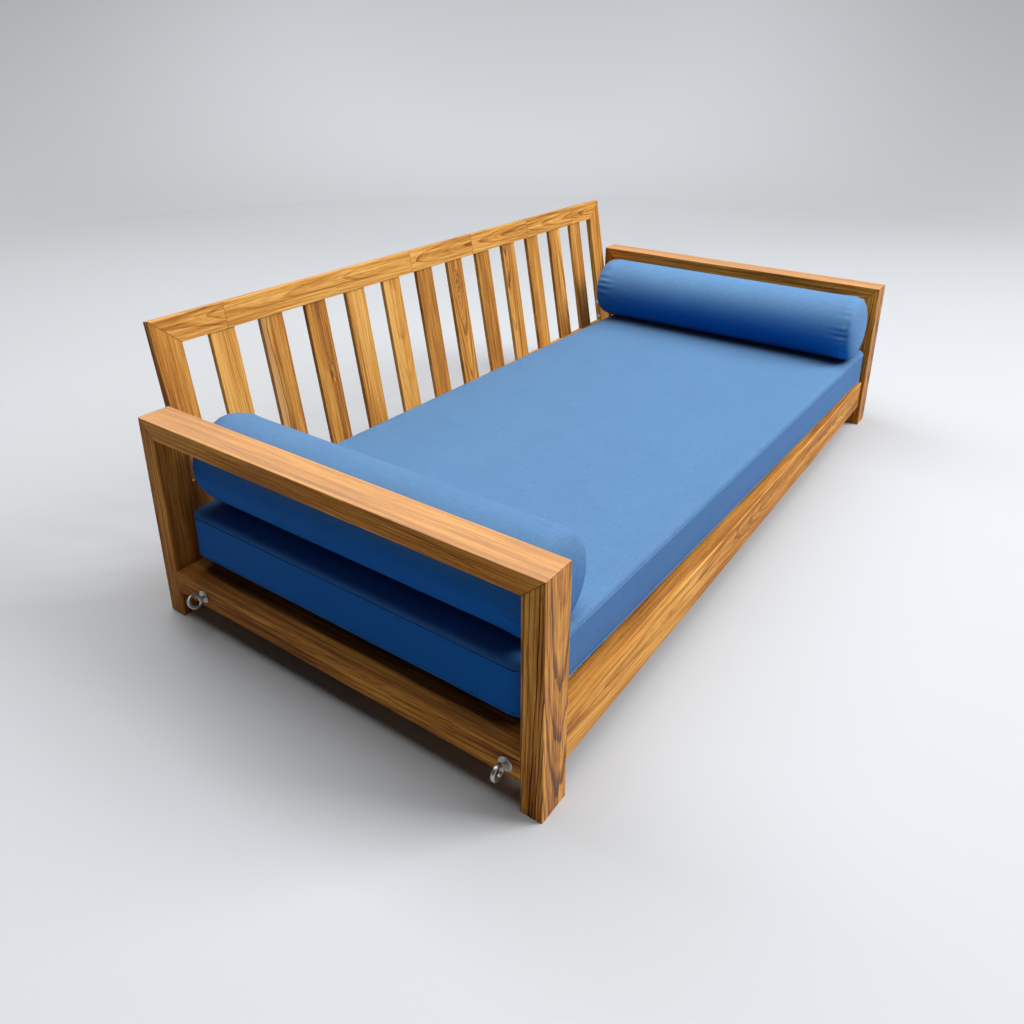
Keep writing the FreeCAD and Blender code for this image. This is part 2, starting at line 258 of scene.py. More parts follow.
def make_wood_group():
    """Growth rings about a pith line, fibres, pores and rubbed edges of one board."""
    group = bpy.data.node_groups.new("board_grain", "ShaderNodeTree")
    sockets = (
        ("Position", "NodeSocketVector"),
        ("Half", "NodeSocketVector"),
        ("Pith", "NodeSocketVector"),
        ("Tilt", "NodeSocketVector"),
        ("Spacing", "NodeSocketFloat"),
        ("Warp", "NodeSocketFloat"),
        ("Tone", "NodeSocketFloat"),
        ("Contrast", "NodeSocketFloat"),
        ("Rings", "NodeSocketFloat"),
        ("Seed", "NodeSocketFloat"),
    )
    for name, kind in sockets:
        group.interface.new_socket(name, in_out="INPUT", socket_type=kind)
    for name, kind in (
        ("Color", "NodeSocketColor"),
        ("Roughness", "NodeSocketFloat"),
        ("Height", "NodeSocketFloat"),
    ):
        group.interface.new_socket(name, in_out="OUTPUT", socket_type=kind)
    t = Tree(group)
    given = t.node("NodeGroupInput").outputs
    position, seed = given["Position"], given["Seed"]
    v, w, u = t.split(position)
    pith_v, pith_w, _ = t.split(given["Pith"])
    tilt_v, tilt_w, _ = t.split(given["Tilt"])

    slow = t.noise(t.vector("MULTIPLY", position, bend_waves), seed, 2.0)
    bend = t.vector("SUBTRACT", slow["Color"], (0.5, 0.5, 0.5))
    bend_v, bend_w, _ = t.split(bend)
    warp = given["Warp"]
    across_v = t.math("SUBTRACT", v, pith_v)
    across_v = t.math("MULTIPLY_ADD", u, tilt_v, across_v)
    across_v = t.math("MULTIPLY_ADD", bend_v, warp, across_v)
    across_w = t.math("SUBTRACT", w, pith_w)
    across_w = t.math("MULTIPLY_ADD", u, tilt_w, across_w)
    across_w = t.math("MULTIPLY_ADD", bend_w, warp, across_w)
    radius = t.hypot(across_v, across_w)
    ripple = t.noise(t.vector("MULTIPLY", position, ripple_waves), seed, 3.0)["Fac"]
    even_turns = t.math("DIVIDE", radius, given["Spacing"])
    turns = t.math("MULTIPLY_ADD", ripple, ring_ripple, even_turns)
    part = t.math("FRACT", turns)
    ring_number = t.math("FLOOR", turns)
    ring_random = t.node("ShaderNodeTexWhiteNoise", {"W": ring_number}, noise_dimensions="1D")
    late = t.math("MULTIPLY", t.step(part, 0.55, 0.95), t.step(part, 1.0, 0.96))
    own_strength = t.math("MULTIPLY_ADD", ring_random.outputs["Value"], 0.95, 0.20)
    late = t.math("MULTIPLY", late, own_strength)
    late = t.math("MULTIPLY", late, given["Rings"])
    fine_part = t.math("FRACT", t.math("MULTIPLY", turns, fine_rings))
    fine_ring = t.math("MULTIPLY", t.step(fine_part, 0.3, 0.9), t.step(fine_part, 1.0, 0.9))

    broad = t.noise(t.vector("MULTIPLY", position, broad_waves), seed, 3.0, 0.55)["Fac"]
    fibre = t.noise(t.vector("MULTIPLY", position, fibre_waves), seed, 3.0, 0.62)["Fac"]
    streak = t.noise(t.vector("MULTIPLY", position, streak_waves), seed, 3.0, 0.6)["Fac"]
    pore = t.noise(t.vector("MULTIPLY", position, pore_waves), seed, 1.0)["Fac"]
    pore = t.step(pore, 0.60, 0.72)

    swing = t.math("MULTIPLY", late, late_dark)
    swing = t.math("MULTIPLY_ADD", fine_ring, fine_dark, swing)
    for pattern, dark in ((broad, broad_dark), (streak, streak_dark), (fibre, fibre_dark)):
        swing = t.math("MULTIPLY_ADD", t.math("SUBTRACT", pattern, 0.5), dark, swing)
    swing = t.math("MULTIPLY_ADD", pore, pore_dark, swing)
    depth = t.math("MULTIPLY_ADD", swing, given["Contrast"], given["Tone"])

    # The median of the distances to the three pairs of faces is the way to the nearest edge.
    gaps = t.vector("SUBTRACT", given["Half"], t.vector("ABSOLUTE", position))
    gap_v, gap_w, gap_u = t.split(gaps)
    low = t.math("MINIMUM", gap_v, gap_w)
    high = t.math("MAXIMUM", gap_v, gap_w)
    edge = t.math("MAXIMUM", low, t.math("MINIMUM", high, gap_u))
    scuff = t.noise(t.vector("MULTIPLY", position, scuff_waves), seed, 3.0)["Fac"]
    edge = t.math("MULTIPLY_ADD", scuff, scuff_depth, edge)
    rubbed = t.step(edge, rubbed_in, rubbed_out)
    depth = t.math("MULTIPLY_ADD", rubbed, rubbed_dark, depth, clamp=True)

    colour = t.ramp(depth, wood_stops)
    rough = t.math("MULTIPLY_ADD", fibre, 0.24, 0.42)
    rough = t.math("MULTIPLY_ADD", late, -0.06, rough)
    height = t.math("MULTIPLY_ADD", fibre, 0.5, t.math("MULTIPLY", late, -0.35))
    height = t.math("MULTIPLY_ADD", pore, -0.6, height)
    t.node("NodeGroupOutput", {"Color": colour, "Roughness": rough, "Height": height})
    return group


wood_group = make_wood_group()


def board_frame(node, axis, lean):
    """Turn into a board's own axes, with its middle and half size in them."""
    turn = grain_axes[axis]
    if lean:
        turn = turn @ Matrix.Rotation(back_lean, 3, "X")
    points = np.array([vertex.co for vertex in nodes[node].data.vertices])
    own = points @ np.array(turn).T
    middle = (own.min(0) + own.max(0)) / 2
    half = (own.max(0) - own.min(0)) / 2
    return turn, middle, half


def wood_material(
    node,
    axis,
    seed,
    lean=False,
    pith=(0.0, 0.06),
    tilt=(0.0, 0.03),
    spacing=0.0042,
    warp=0.02,
    tone=0.26,
    contrast=1.0,
    rings=1.0,
    # share of painted light: how far lit faces move towards the paler colour
    lit_paint=0.06,
    mitres=(),
    breaks=(),
    knots=(),
    sapwood=None,
):
    """One board's material, in metres and in the board's own axes (across, across, along).

    Pith and tilt place the rings' centre line. Breaks are end joints (place along, change of
    tone), knots are (across, along, size), and sapwood is (its border across, border width).
    Mitres are planes (normal, distance) in the model's frame.
    """

    def mark(under, where, look):
        tint, strength = look
        return t.mix(t.math("MULTIPLY", where, strength), under, tint)

    turn, middle, half = board_frame(node, axis, lean)
    material, t, shader = new_material(node + "_wood")
    place = t.node("ShaderNodeTexCoord").outputs["Object"]
    mapping = t.node("ShaderNodeMapping", {"Vector": place})
    mapping.inputs["Rotation"].default_value = turn.to_euler("XYZ")
    mapping.inputs["Location"].default_value = [-value for value in middle]
    position = mapping.outputs["Vector"]
    v, w, u = t.split(position)

    seed_value = float(seed)
    tone_value = tone
    line = None
    for break_u, tone_shift in breaks:
        passed = t.math("GREATER_THAN", u, break_u)
        seed_value = t.math("MULTIPLY_ADD", passed, 7.3, seed_value)
        tone_value = t.math("MULTIPLY_ADD", passed, tone_shift, tone_value)
        near = t.step(t.math("ABSOLUTE", t.math("SUBTRACT", u, break_u)), 0.0016, 0.0004)
        line = near if line is None else t.math("MAXIMUM", line, near)

    dark = None
    for knot_across, knot_u, size in knots:
        away_v = t.math("SUBTRACT", v, knot_across)
        away_u = t.math("MULTIPLY", t.math("SUBTRACT", u, knot_u), 0.45)
        away = t.hypot(away_v, away_u)
        pull = t.math("MULTIPLY", t.step(away, size * 3.2, 0.0), size * 1.6)
        position = t.vector("ADD", position, t.join(0.0, pull, 0.0))
        core = t.step(away, size, size * 0.35)
        dark = core if dark is None else t.math("MAXIMUM", dark, core)

    grain = t.node("ShaderNodeGroup", node_tree=wood_group)
    values = {
        "Position": position,
        "Half": tuple(half),
        "Pith": (*pith, 0.0),
        "Tilt": (*tilt, 0.0),
        "Spacing": spacing,
        "Warp": warp,
        "Tone": tone_value,
        "Contrast": contrast,
        "Rings": rings,
        "Seed": seed_value,
    }
    for name, value in values.items():
        t.put(value, grain.inputs[name])
    colour = grain.outputs["Color"]

    if sapwood is not None:
        edge_v, width = sapwood
        wander = t.noise(t.join(seed_value, 0.0, t.math("MULTIPLY", u, 7.0)), seed, 2.0)["Fac"]
        border = t.math("MULTIPLY_ADD", t.math("SUBTRACT", wander, 0.5), 0.030, v)
        outer = edge_v + width * 0.1
        pale = t.step(border, outer, edge_v - width * 0.1)
        colour = mark(colour, pale, sapwood_mark)
        streak = t.step(t.math("ABSOLUTE", t.math("SUBTRACT", border, outer)), 0.0022, 0.0006)
        colour = mark(colour, streak, streak_mark)
    if dark is not None:
        colour = mark(colour, dark, knot_mark)
    if line is not None:
        colour = mark(colour, line, joint_mark)
    for normal, distance in mitres:
        reach = t.node("ShaderNodeVectorMath", {0: place, 1: normal}, operation="DOT_PRODUCT")
        off = t.math("ABSOLUTE", t.math("SUBTRACT", reach.outputs["Value"], distance))
        colour = mark(colour, t.step(off, 0.0014, 0.0003), mitre_mark)

    bump = t.node(
        "ShaderNodeBump",
        {"Height": grain.outputs["Height"], "Strength": 0.35, "Distance": 0.0006},
    )
    # Painted light: faces towards the lamps are mixed towards the paler colour, and faces in
    # shade keep the grain's deeper colour.
    fade = painted_light_share(t, t.node("ShaderNodeTexCoord").outputs["Normal"])
    colour = t.mix(t.math("MULTIPLY", fade, lit_paint), colour, (*lit_wood_paint, 1))
    t.put(colour, shader.inputs["Base Color"])
    t.put(grain.outputs["Roughness"], shader.inputs["Roughness"])
    t.put(bump.outputs["Normal"], shader.inputs["Normal"])
    shader.inputs["Specular IOR Level"].default_value = 0.08
    return material


def paint(node, material):
    slots = nodes[node].data.materials
    slots.clear()
    slots.append(material)


def mitre_plane(point, normal):
    normal = Vector(normal).normalized()
    return tuple(normal), normal.dot(Vector(point))


# Mitre planes pass through the outer corner and the inner corner of each joint.
post_depth = post_high.y - post_low.y
arm_drop = arm_high.z - arm_low.z
frame_rear = arm_high.y
arm_top = arm_high.z
front_mitre = mitre_plane((0, post_low.y, arm_top), (0, arm_drop, post_depth))
rear_mitre = mitre_plane((0, frame_rear, arm_top), (0, -arm_drop, post_depth))

for index, side in enumerate(("left", "right")):
    base = 11.0 + 40.0 * index
    outward = 1 if side == "left" else -1
    # The front posts and arm rails get a larger share of painted light on their lit faces.
    frame_boards = {
        "front_post": dict(
            axis="z", pith=(0.012, 0.055), tilt=(0.0, 0.055), spacing=0.0056, warp=0.03,
            tone=0.35, contrast=1.1, rings=1.35, lit_paint=0.18, mitres=[front_mitre],
        ),
        "rear_post": dict(
            axis="z", pith=(0.12, 0.06), tilt=(0.02, 0.0), spacing=0.0034, tone=0.46,
            rings=0.7, mitres=[rear_mitre],
        ),
        "arm_rail": dict(
            axis="y", pith=(-0.05, 0.16 * outward), tilt=(0.010, 0.02), spacing=0.0032,
            tone=0.35, contrast=0.95, rings=0.5, lit_paint=0.36, mitres=[front_mitre, rear_mitre],
        ),
        # The low rail's darker tone is partly the board's own tone and partly painted shade, for
        # its shaded outer face near the floor.
        "low_rail": dict(
            axis="y", pith=(0.04, 0.13 * outward), tilt=(0.006, 0.028), spacing=0.0036,
            tone=0.47, contrast=1.1, rings=0.6,
        ),
        "deck_rail": dict(axis="y", pith=(0.02, 0.06), tone=0.32),
    }
    for offset, (name, look) in enumerate(frame_boards.items()):
        node = side + "_" + name
        paint(node, wood_material(node, seed=base + 3.1 * offset, **look))

paint(
    "front_rail",
    wood_material(
        "front_rail", "x", 95.0, pith=(0.075, 0.012), tilt=(0.022, 0.004), spacing=0.0034,
        warp=0.024, tone=0.28, contrast=1.0, rings=0.8,
    ),
)
paint("rear_rail", wood_material("rear_rail", "x", 97.0, pith=(-0.07, 0.01), tilt=(0.02, 0.0)))
paint("front_cleat", wood_material("front_cleat", "x", 99.0, tone=0.32))
paint("rear_cleat", wood_material("rear_cleat", "x", 101.0, tone=0.32))
paint("centre_beam", wood_material("centre_beam", "x", 103.0, tone=0.30))
slat_tones = (0.34, 0.40, 0.30, 0.37, 0.33, 0.42, 0.31, 0.36, 0.39, 0.32, 0.41, 0.35)
for number in range(1, 13):
    node = "deck_slat_%02d" % number
    look = dict(
        pith=(0.06 + 0.01 * (number % 4), 0.04 - 0.02 * (number % 5)),
        tilt=(0.02 + 0.006 * (number % 3), 0.0),
        tone=slat_tones[-number],
    )
    paint(node, wood_material(node, "y", 110.0 + 2.3 * number, **look))

back_low, back_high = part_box("back_top_rail")
back_right_way = Vector((1, 0, 0))
back_up_way = Vector((0, math.sin(back_lean), math.cos(back_lean)))
back_top_y = back_high.y - back_thickness * math.cos(back_lean)
back_top_left = Vector((back_low.x, back_top_y, back_high.z))
back_top_right = Vector((back_high.x, back_top_y, back_high.z))
along_rail = top_rail_width * back_right_way
along_stile = stile_width * back_up_way
left_mitre = mitre_plane(back_top_left, along_rail + along_stile)
right_mitre = mitre_plane(back_top_right, along_stile - along_rail)
paint(
    "back_top_rail",
    wood_material(
        "back_top_rail", "x", 150.0, lean=True, pith=(0.05, 0.004), tilt=(0.02, 0.004),
        spacing=0.0032, warp=0.022, tone=0.24, contrast=1.05, rings=0.85,
        mitres=[left_mitre, right_mitre],
        breaks=((-0.76, -0.05), (-0.125, 0.04), (0.160, -0.03), (0.465, 0.04), (0.750, -0.05)),
    ),
)
paint(
    "back_bottom_rail",
    wood_material("back_bottom_rail", "x", 156.0, lean=True, pith=(0.05, 0.0)),
)
paint(
    "back_left_stile",
    wood_material(
        "back_left_stile", "z", 160.0, lean=True, pith=(-0.09, 0.02), tilt=(0.03, 0.0),
        spacing=0.0036, tone=0.34, mitres=[left_mitre],
    ),
)
paint(
    "back_right_stile",
    wood_material(
        "back_right_stile", "z", 163.0, lean=True, pith=(0.07, 0.03), tilt=(0.03, 0.0),
        spacing=0.0040, tone=0.28, mitres=[right_mitre],
    ),
)
back_looks = (
    dict(pith=(0.05, 0.04), tone=0.09, contrast=0.8),
    dict(pith=(0.10, 0.01), tone=0.36, sapwood=(-0.016, 0.010)),
    dict(pith=(0.06, 0.03), tone=0.31, knots=((0.006, 0.0, 0.006),)),
    dict(pith=(-0.07, 0.02), tone=0.20),
    dict(pith=(0.01, 0.09), tone=0.05, contrast=0.75),
    dict(pith=(0.08, 0.02), tone=0.24),
    dict(pith=(0.0, 0.05), tone=0.22, knots=((-0.004, 0.13, 0.007),)),
    dict(pith=(0.06, 0.03), tone=0.30),
    dict(pith=(-0.02, 0.06), tone=0.14),
    dict(pith=(0.09, 0.01), tone=0.20),
    dict(pith=(0.03, 0.05), tone=0.20),
    dict(pith=(0.07, 0.02), tone=0.30),
)
for number, look in enumerate(back_looks, 1):
    node = "back_slat_%02d" % number
    seed = 170.0 + 3.7 * number
    paint(node, wood_material(node, "z", seed, lean=True, tilt=(0.012, 0.03), **look))
paint("back_spacers", wood_material("back_spacers", "z", 230.0, tone=0.34))
for offset, node in enumerate(("mitre_dowels", "low_rail_dowels", "rail_dowels")):
    paint(node, wood_material(node, "z", 240.0 + offset, tone=0.10, contrast=0.5, spacing=0.004))


# ---- metal ----
def steel_material(name, colour, rough, brushed):
    material, t, shader = new_material(name)
    place = t.node("ShaderNodeTexCoord").outputs["Object"]
    fine = t.noise(t.vector("MULTIPLY", place, (150.0, 900.0, 900.0)), 3.0, 3.0, 0.6)["Fac"]
    haze = t.noise(t.vector("MULTIPLY", place, (60.0, 60.0, 60.0)), 8.0, 3.0)["Fac"]
    dull = tuple(value * 0.72 for value in colour)
    t.put(t.mix(t.step(haze, 0.35, 0.75), (*colour, 1), (*dull, 1)), shader.inputs["Base Color"])
    value = t.math("MULTIPLY_ADD", fine, brushed, rough)
    t.put(t.math("MULTIPLY_ADD", haze, 0.08, value), shader.inputs["Roughness"])
    bump = t.node("ShaderNodeBump", {"Height": fine, "Strength": 0.15, "Distance": 0.0002})
    t.put(bump.outputs["Normal"], shader.inputs["Normal"])
    shader.inputs["Metallic"].default_value = 1.0
    return material


polished = steel_material("polished_steel_look", (0.56, 0.54, 0.50), 0.24, 0.16)
plain = steel_material("screw_steel_look", (0.60, 0.59, 0.57), 0.26, 0.18)
for side in ("left", "right"):
    for end in ("front", "rear"):
        paint("%s_%s_eye_bolt" % (side, end), polished)
for node in ("eye_washers", "eye_nuts"):
    paint(node, polished)
for node in ("back_bolts", "slat_screws", "cleat_screws"):
    paint(node, plain)


# ---- cloth ----
# Painted light: the deeper blue is painted on shaded faces and the paler blue on faces towards
# the lamps, standing in for the light's sheen.
fabric_in_shade = (0.000, 0.096, 0.370)
fabric_in_light = (0.096, 0.204, 0.370)
thread = 0.0011             # from one thread of the weave to the next
slub_across = 700.0         # thread noise, waves per metre across the threads
slub_along = 32.0           # and along them
shaded_light_share = 0.42         # share of the painted light that cloth in the arm rail's shade still gets
painted_shade_under_arm = (-0.92, -0.87)  # x from painted shade to open, beneath the left arm rail


def fabric_material(name, roll_axis=None, painted_light_low=painted_light_none, shade_span=None, pale=1.0):
    """Plain-weave canvas, laid flat on a box, or round a roll that lies along Y.

    Faces towards the lamps are painted paler, as painted light. Cloth left of the shaded range of
    x gets less of that, as painted shade, and pale brightens all of it, as painted light.
    """
    material, t, shader = new_material(name)
    coordinates = t.node("ShaderNodeTexCoord").outputs
    place = coordinates["Object"]
    x, y, z = t.split(place)
    if roll_axis is None:
        facing = t.vector("ABSOLUTE", coordinates["Normal"])
        face_x, face_y, face_z = t.split(facing)
        side = t.math("GREATER_THAN", face_x, face_y)
        top = t.math("GREATER_THAN", face_z, 0.6)
        s = t.choose(top, t.choose(side, x, y), x)
        r = t.choose(top, z, y)
    else:
        axis_x, axis_z, radius = roll_axis
        angle = t.math("ARCTAN2", t.math("SUBTRACT", z, axis_z), t.math("SUBTRACT", x, axis_x))
        s = t.math("MULTIPLY", angle, radius)
        r = y
    wave_s = t.math("SINE", t.math("MULTIPLY", s, math.pi / thread))
    wave_r = t.math("SINE", t.math("MULTIPLY", r, math.pi / thread))
    over = t.step(t.math("MULTIPLY", wave_s, wave_r), -0.25, 0.25)
    weave = t.choose(over, t.math("ABSOLUTE", wave_r), t.math("ABSOLUTE", wave_s))
    flat = t.join(s, r, 0.0)
    across_s = t.vector("MULTIPLY", flat, (slub_across, slub_along, 0.0))
    across_r = t.vector("MULTIPLY", flat, (slub_along, slub_across, 0.0))
    slub_s = t.noise(across_s, 2.0, 3.0)["Fac"]
    slub_r = t.noise(across_r, 5.0, 3.0)["Fac"]
    slub = t.math("MULTIPLY_ADD", slub_s, 0.5, t.math("MULTIPLY", slub_r, 0.5))
    cloud = t.noise(t.vector("MULTIPLY", place, (7.0, 7.0, 7.0)), 9.0, 4.0, 0.55)["Fac"]
    shade = t.math("MULTIPLY_ADD", t.math("SUBTRACT", slub, 0.5), 2.4, 0.5)
    shade = t.math("MULTIPLY_ADD", t.math("SUBTRACT", cloud, 0.5), 0.35, shade)
    shade = t.math("MULTIPLY_ADD", t.math("SUBTRACT", weave, 0.6), 0.25, shade, clamp=True)
    # Painted light: the share of the paler blue that each face gets, by its turn towards the
    # lamps.
    fade = painted_light_share(t, coordinates["Normal"], painted_light_low)
    # Painted shade: cloth left of the range, under the left arm rail and bolster, gets less of
    # the paler colour.
    if shade_span is not None:
        bare = t.math("MULTIPLY_ADD", t.step(x, *shade_span), 1 - shaded_light_share, shaded_light_share)
        fade = t.math("MULTIPLY", fade, bare)
    colour = t.mix(fade, (*fabric_in_shade, 1), (*fabric_in_light, 1))
    # pale brightens the whole piece, as painted light
    value = t.math("MULTIPLY_ADD", shade, 0.44 * pale, 0.78 * pale)
    t.put(t.vector("MULTIPLY", colour, t.join(value, value, value)), shader.inputs["Base Color"])
    t.put(t.math("MULTIPLY_ADD", slub, 0.2, 0.45), shader.inputs["Roughness"])
    height = t.math("MULTIPLY_ADD", slub, 0.7, weave)
    bump = t.node("ShaderNodeBump", {"Height": height, "Strength": 0.35, "Distance": 0.0005})
    t.put(bump.outputs["Normal"], shader.inputs["Normal"])
    shader.inputs["Specular IOR Level"].default_value = 0.05
    shader.inputs["Sheen Weight"].default_value = 0.03
    shader.inputs["Sheen Roughness"].default_value = 0.5
    shader.inputs["Sheen Tint"].default_value = (0.85, 0.95, 1.0, 1.0)
    return material


puff_pressure = 4.0
puff_frames = 20


def mesh_object(name, points, faces, material):
    data = bpy.data.meshes.new(name)
    data.from_pydata([tuple(point) for point in points], [], [tuple(face) for face in faces])
    data.update()
    for polygon in data.polygons:
        polygon.use_smooth = True
    data.materials.append(material)
    made = bpy.data.objects.new(name, data)
    scene.collection.objects.link(made)
    return made


def get_points(piece):
    values = np.zeros(len(piece.data.vertices) * 3)
    piece.data.vertices.foreach_get("co", values)
    return values.reshape(-1, 3)


def set_points(piece, points):
    piece.data.vertices.foreach_set("co", points.astype(np.float32).ravel())
    piece.data.update()


def puff(piece, cap):
    """Blows the closed cloth up a little; no point ends further than cap from its start."""
    start = get_points(piece)
    cloth = piece.modifiers.new("cloth", "CLOTH")
    settings = cloth.settings
    settings.quality = 5
    settings.mass = 0.3
    settings.tension_stiffness = 15
    settings.compression_stiffness = 15
    settings.shear_stiffness = 5
    settings.bending_stiffness = 0.5
    settings.use_pressure = True
    settings.uniform_pressure_force = puff_pressure
    settings.effector_weights.gravity = 0
    cloth.point_cache.frame_start = 1
    cloth.point_cache.frame_end = puff_frames
    for number in range(1, puff_frames + 1):
        scene.frame_set(number)
    seen = piece.evaluated_get(bpy.context.evaluated_depsgraph_get())
    blown = np.array([vertex.co[:] for vertex in seen.data.vertices])
    piece.modifiers.remove(cloth)
    scene.frame_set(1)
    move = blown - start
    size = np.linalg.norm(move, axis=1, keepdims=True)
    return start + move * cap * np.tanh(size / cap) / np.maximum(size, 1e-9)


def subdivide(piece):
    smooth = piece.modifiers.new("smooth", "SUBSURF")
    smooth.levels = 1
    smooth.render_levels = 1
    seen = piece.evaluated_get(bpy.context.evaluated_depsgraph_get())
    data = bpy.data.meshes.new_from_object(seen)
    piece.modifiers.remove(smooth)
    data.name = piece.name
    piece.data = data
    for polygon in data.polygons:
        polygon.use_smooth = True


def smooth_random(rng, count, waves):
    """A smooth closed random curve of the given number of waves, from -1 to 1."""
    turns = np.linspace(0, 2 * math.pi, count, endpoint=False)
    total = np.zeros(count)
    for wave in range(1, waves + 1):
        total += rng.normal() * np.sin(wave * turns + rng.uniform(0, 2 * math.pi))
    return total / np.abs(total).max()


# ---- mattress ----
pad_length = 1.957
pad_width = 0.898
pad_height = 0.121
pad_corner = 0.034
pad_edge = 0.008
pad_skew = -0.0223
soft_gap = 0.0006           # above the surface that a soft piece lies on
pad_middle = Vector((-0.0235, -0.0640, deck_top + soft_gap + pad_height / 2))
pad_cell = 0.012
pad_shrink = 0.004          # the pad starts smaller by this, and swells
pad_swell = 0.0045
welt_radius = 0.0014
welt_sides = 8


def box_grid(length, width, height, cell):
    """Points, quads and ring rows of a box's surface, cut into even cells."""
    counts = [max(2, round(size / cell)) for size in (length, width, height)]
    nx, ny, nz = counts
    index, points, faces = {}, [], []

    def corner(i, j, k):
        key = (i, j, k)
        if key not in index:
            index[key] = len(points)
            shares = (i / nx - 0.5, j / ny - 0.5, k / nz - 0.5)
            points.append((shares[0] * length, shares[1] * width, shares[2] * height))
        return index[key]

    def quad(*keys):
        faces.append([corner(*key) for key in keys])

    for i in range(nx):
        for j in range(ny):
            quad((i, j, nz), (i + 1, j, nz), (i + 1, j + 1, nz), (i, j + 1, nz))
            quad((i, j, 0), (i, j + 1, 0), (i + 1, j + 1, 0), (i + 1, j, 0))
        for k in range(nz):
            quad((i, 0, k), (i + 1, 0, k), (i + 1, 0, k + 1), (i, 0, k + 1))
            quad((i, ny, k), (i, ny, k + 1), (i + 1, ny, k + 1), (i + 1, ny, k))
    for j in range(ny):
        for k in range(nz):
            quad((0, j, k), (0, j, k + 1), (0, j + 1, k + 1), (0, j + 1, k))
            quad((nx, j, k), (nx, j + 1, k), (nx, j + 1, k + 1), (nx, j, k + 1))
    ring = [(i, 0) for i in range(nx)] + [(nx, j) for j in range(ny)]
    ring += [(i, ny) for i in range(nx, 0, -1)] + [(0, j) for j in range(ny, 0, -1)]
    rows = [[corner(i, j, k) for i, j in ring] for k in range(nz + 1)]
    return np.array(points), faces, rows


def round_square(first, second, half_first, half_second, radius):
    """Moves points of a rectangle so that its corners have the radius."""
    past_first = np.abs(first) - (half_first - radius)
    past_second = np.abs(second) - (half_second - radius)
    near = (past_first > 0) & (past_second > 0)
    long_side = np.maximum(past_first, past_second)
    reach = np.hypot(past_first, past_second)
    shrink = np.where(near, long_side / np.maximum(reach, 1e-9), 1.0)
    round_first = np.sign(first) * (half_first - radius + past_first * shrink)
    round_second = np.sign(second) * (half_second - radius + past_second * shrink)
    return np.where(near, round_first, first), np.where(near, round_second, second)


def make_mattress():
    length, width, height = (value - pad_shrink for value in (pad_length, pad_width, pad_height))
    points, faces, rows = box_grid(length, width, height, pad_cell)
    x, y, z = points.T
    x, y = round_square(x, y, length / 2, width / 2, pad_corner)
    # Way in from the outline: rounds the upper and lower edges, seen in section.
    gap_x = length / 2 - np.abs(x)
    gap_y = width / 2 - np.abs(y)
    inside_x = np.maximum(np.abs(x) - (length / 2 - pad_corner), 0)
    inside_y = np.maximum(np.abs(y) - (width / 2 - pad_corner), 0)
    both = (inside_x > 0) & (inside_y > 0)
    gap = np.where(both, pad_corner - np.hypot(inside_x, inside_y), np.minimum(gap_x, gap_y))
    gap = np.maximum(gap, 0)
    past_side = np.maximum(pad_edge - gap, 0)
    past_top = np.maximum(np.abs(z) - (height / 2 - pad_edge), 0)
    near = (past_side > 0) & (past_top > 0)
    reach = np.hypot(past_side, past_top)
    scale = np.where(near, np.maximum(past_side, past_top) / np.maximum(reach, 1e-9), 1.0)
    new_gap = np.where(near, pad_edge - past_side * scale, gap)
    z = np.where(near, np.sign(z) * (height / 2 - pad_edge + past_top * scale), z)
    out_x = np.where(both, inside_x, np.where(gap_x <= gap_y, 1.0, 0.0)) * np.sign(x)
    out_y = np.where(both, inside_y, np.where(gap_x <= gap_y, 0.0, 1.0)) * np.sign(y)
    out = np.maximum(np.hypot(out_x, out_y), 1e-9)
    x = x - out_x / out * (new_gap - gap)
    y = y - out_y / out * (new_gap - gap)
    material = fabric_material("mattress_canvas", shade_span=painted_shade_under_arm)
    piece = mesh_object("mattress_cover", np.stack([x, y, z], 1), faces, material)
    points = puff(piece, pad_swell)
    return piece, points, rows


def place_pad(points):
    """Brings the pad to its size, skews it a little, as it lies, and moves it into the frame."""
    low, high = points.min(0), points.max(0)
    size = np.array([pad_length, pad_width, pad_height])
    placed = (points - (low + high) / 2) * size / (high - low)
    placed[:, 1] += placed[:, 0] * pad_skew
    return placed + np.array(pad_middle)


mattress, pad_points, pad_rows = make_mattress()
pad_points = place_pad(pad_points)
set_points(mattress, pad_points)


def tube(name, path, radius, sides, material):
    """A closed thin tube along a closed path."""
    path = np.array(path)
    ahead = np.roll(path, -1, 0) - np.roll(path, 1, 0)
    ahead /= np.linalg.norm(ahead, axis=1, keepdims=True)
    up = np.tile([0.0, 0.0, 1.0], (len(path), 1))
    side = np.cross(ahead, up)
    side /= np.linalg.norm(side, axis=1, keepdims=True)
    up = np.cross(side, ahead)
    points, faces = [], []
    for step in range(sides):
        angle = 2 * math.pi * step / sides
        points.append(path + radius * (math.cos(angle) * side + math.sin(angle) * up))
    points = np.stack(points, 1).reshape(-1, 3)
    count = len(path)
    for i in range(count):
        for step in range(sides):
            a = i * sides + step
            b = i * sides + (step + 1) % sides
            c = ((i + 1) % count) * sides + (step + 1) % sides
            d = ((i + 1) % count) * sides + step
            faces.append([a, d, c, b])
    return mesh_object(name, points, faces, material)


welt_material = fabric_material("welt_canvas", shade_span=painted_shade_under_arm)
top_row = pad_points[pad_rows[-2]]
bottom_row = pad_points[pad_rows[1]]
top_welt = tube("mattress_top_welt", top_row, welt_radius, welt_sides, welt_material)
bottom_welt = tube("mattress_bottom_welt", bottom_row, welt_radius, welt_sides, welt_material)
subdivide(mattress)

